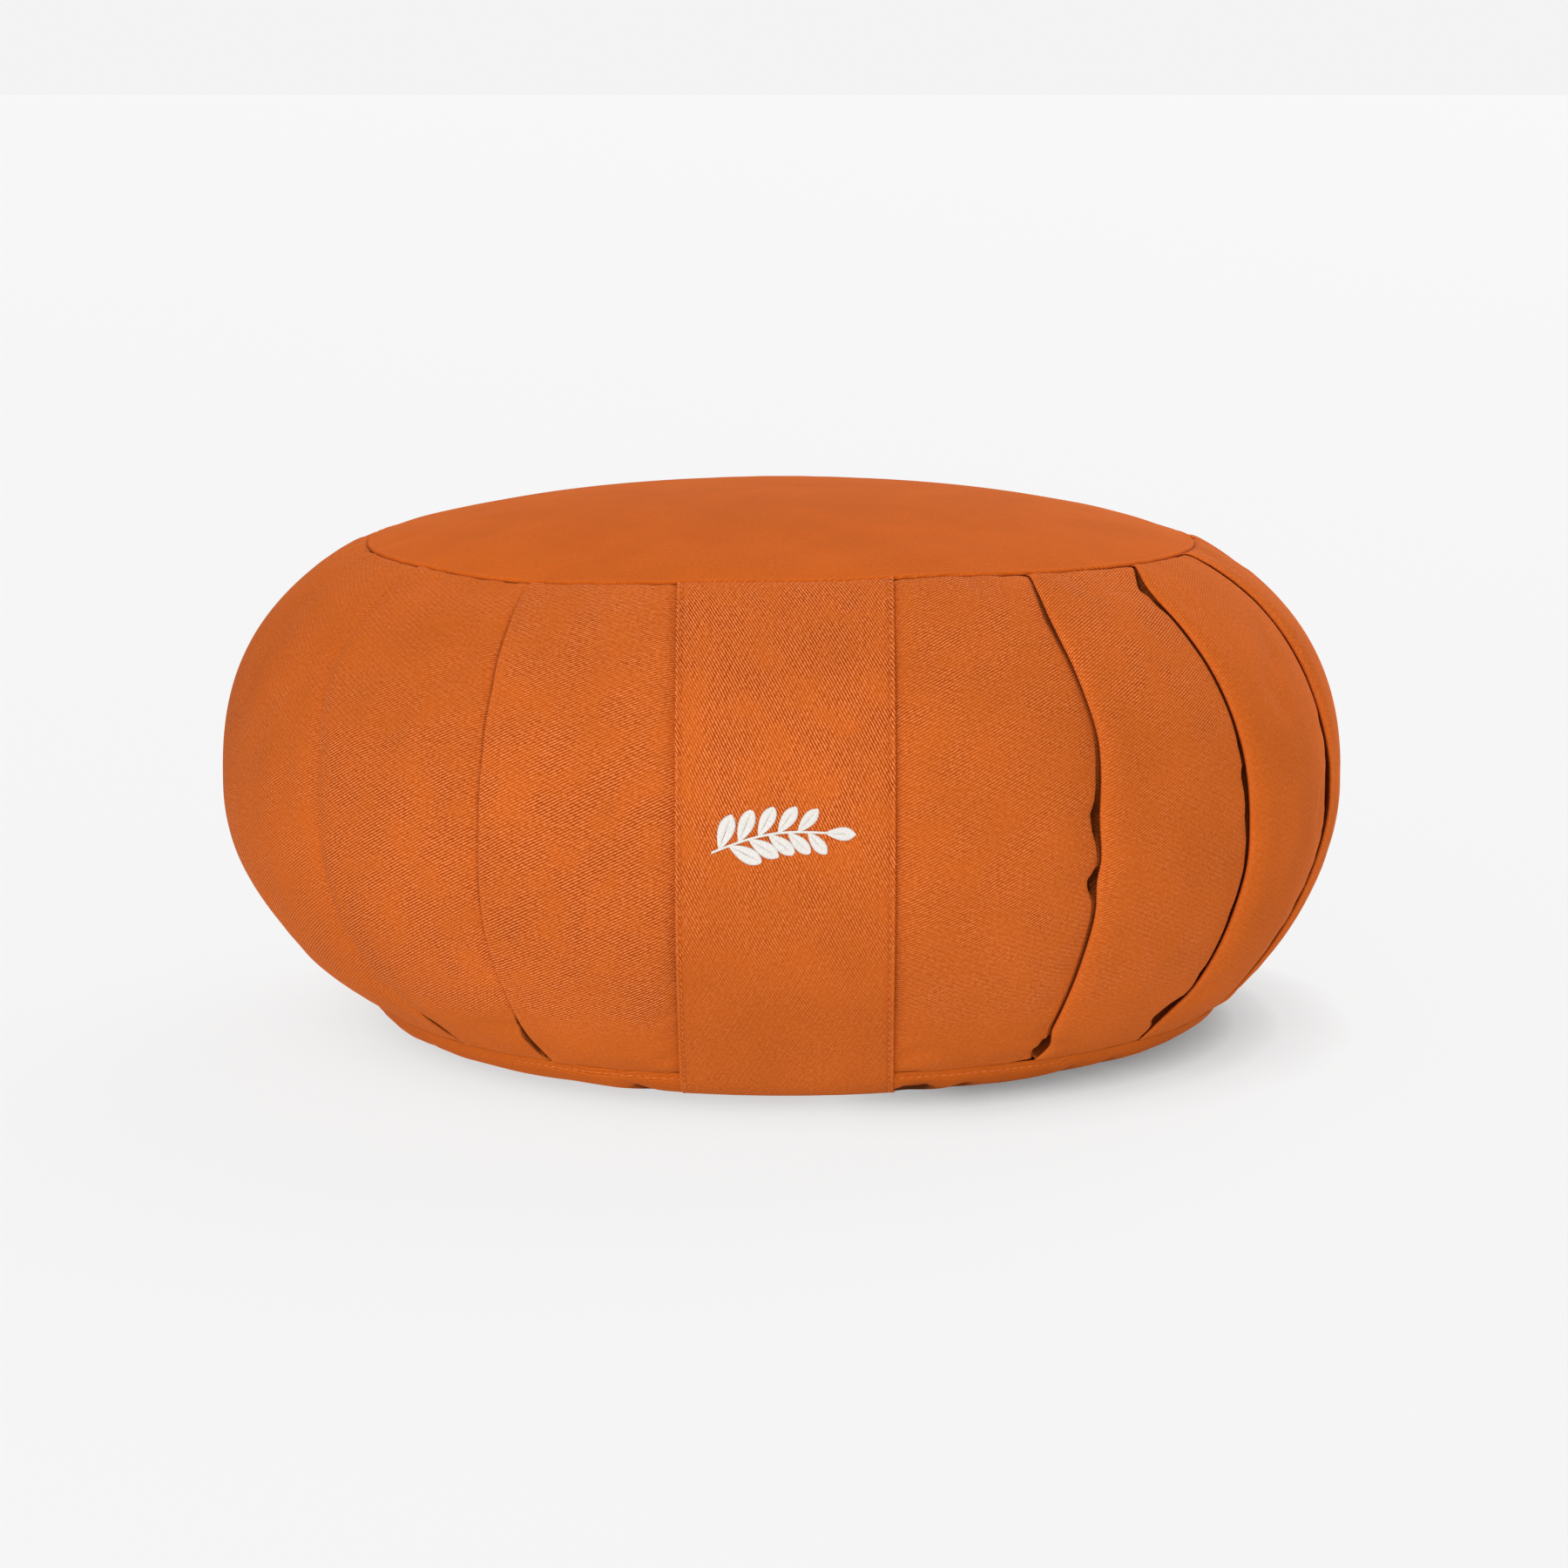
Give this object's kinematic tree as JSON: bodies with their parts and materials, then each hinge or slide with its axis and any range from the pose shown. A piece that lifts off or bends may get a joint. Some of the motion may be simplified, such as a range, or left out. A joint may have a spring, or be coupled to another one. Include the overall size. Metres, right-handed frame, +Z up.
{
  "type": "zafu meditation cushion",
  "caption": "Round pleated floor cushion of orange cotton twill, with crowned discs above and below and a plain upright panel at the front.",
  "frame": {"origin": "centre of the flat underside, where the cushion rests", "axes": "+Z up through the middle of the two discs; the front panel faces -Y"},
  "size_m": [0.3425, 0.3419, 0.164],
  "materials": {
    "orange_twill": "matte",
    "white_thread": "satin"
  },
  "bodies": {
    "root": {"pleated_side": "orange_twill", "top_panel": "orange_twill", "bottom_panel": "orange_twill", "front_panel": "orange_twill"}
  },
  "joints": []
}
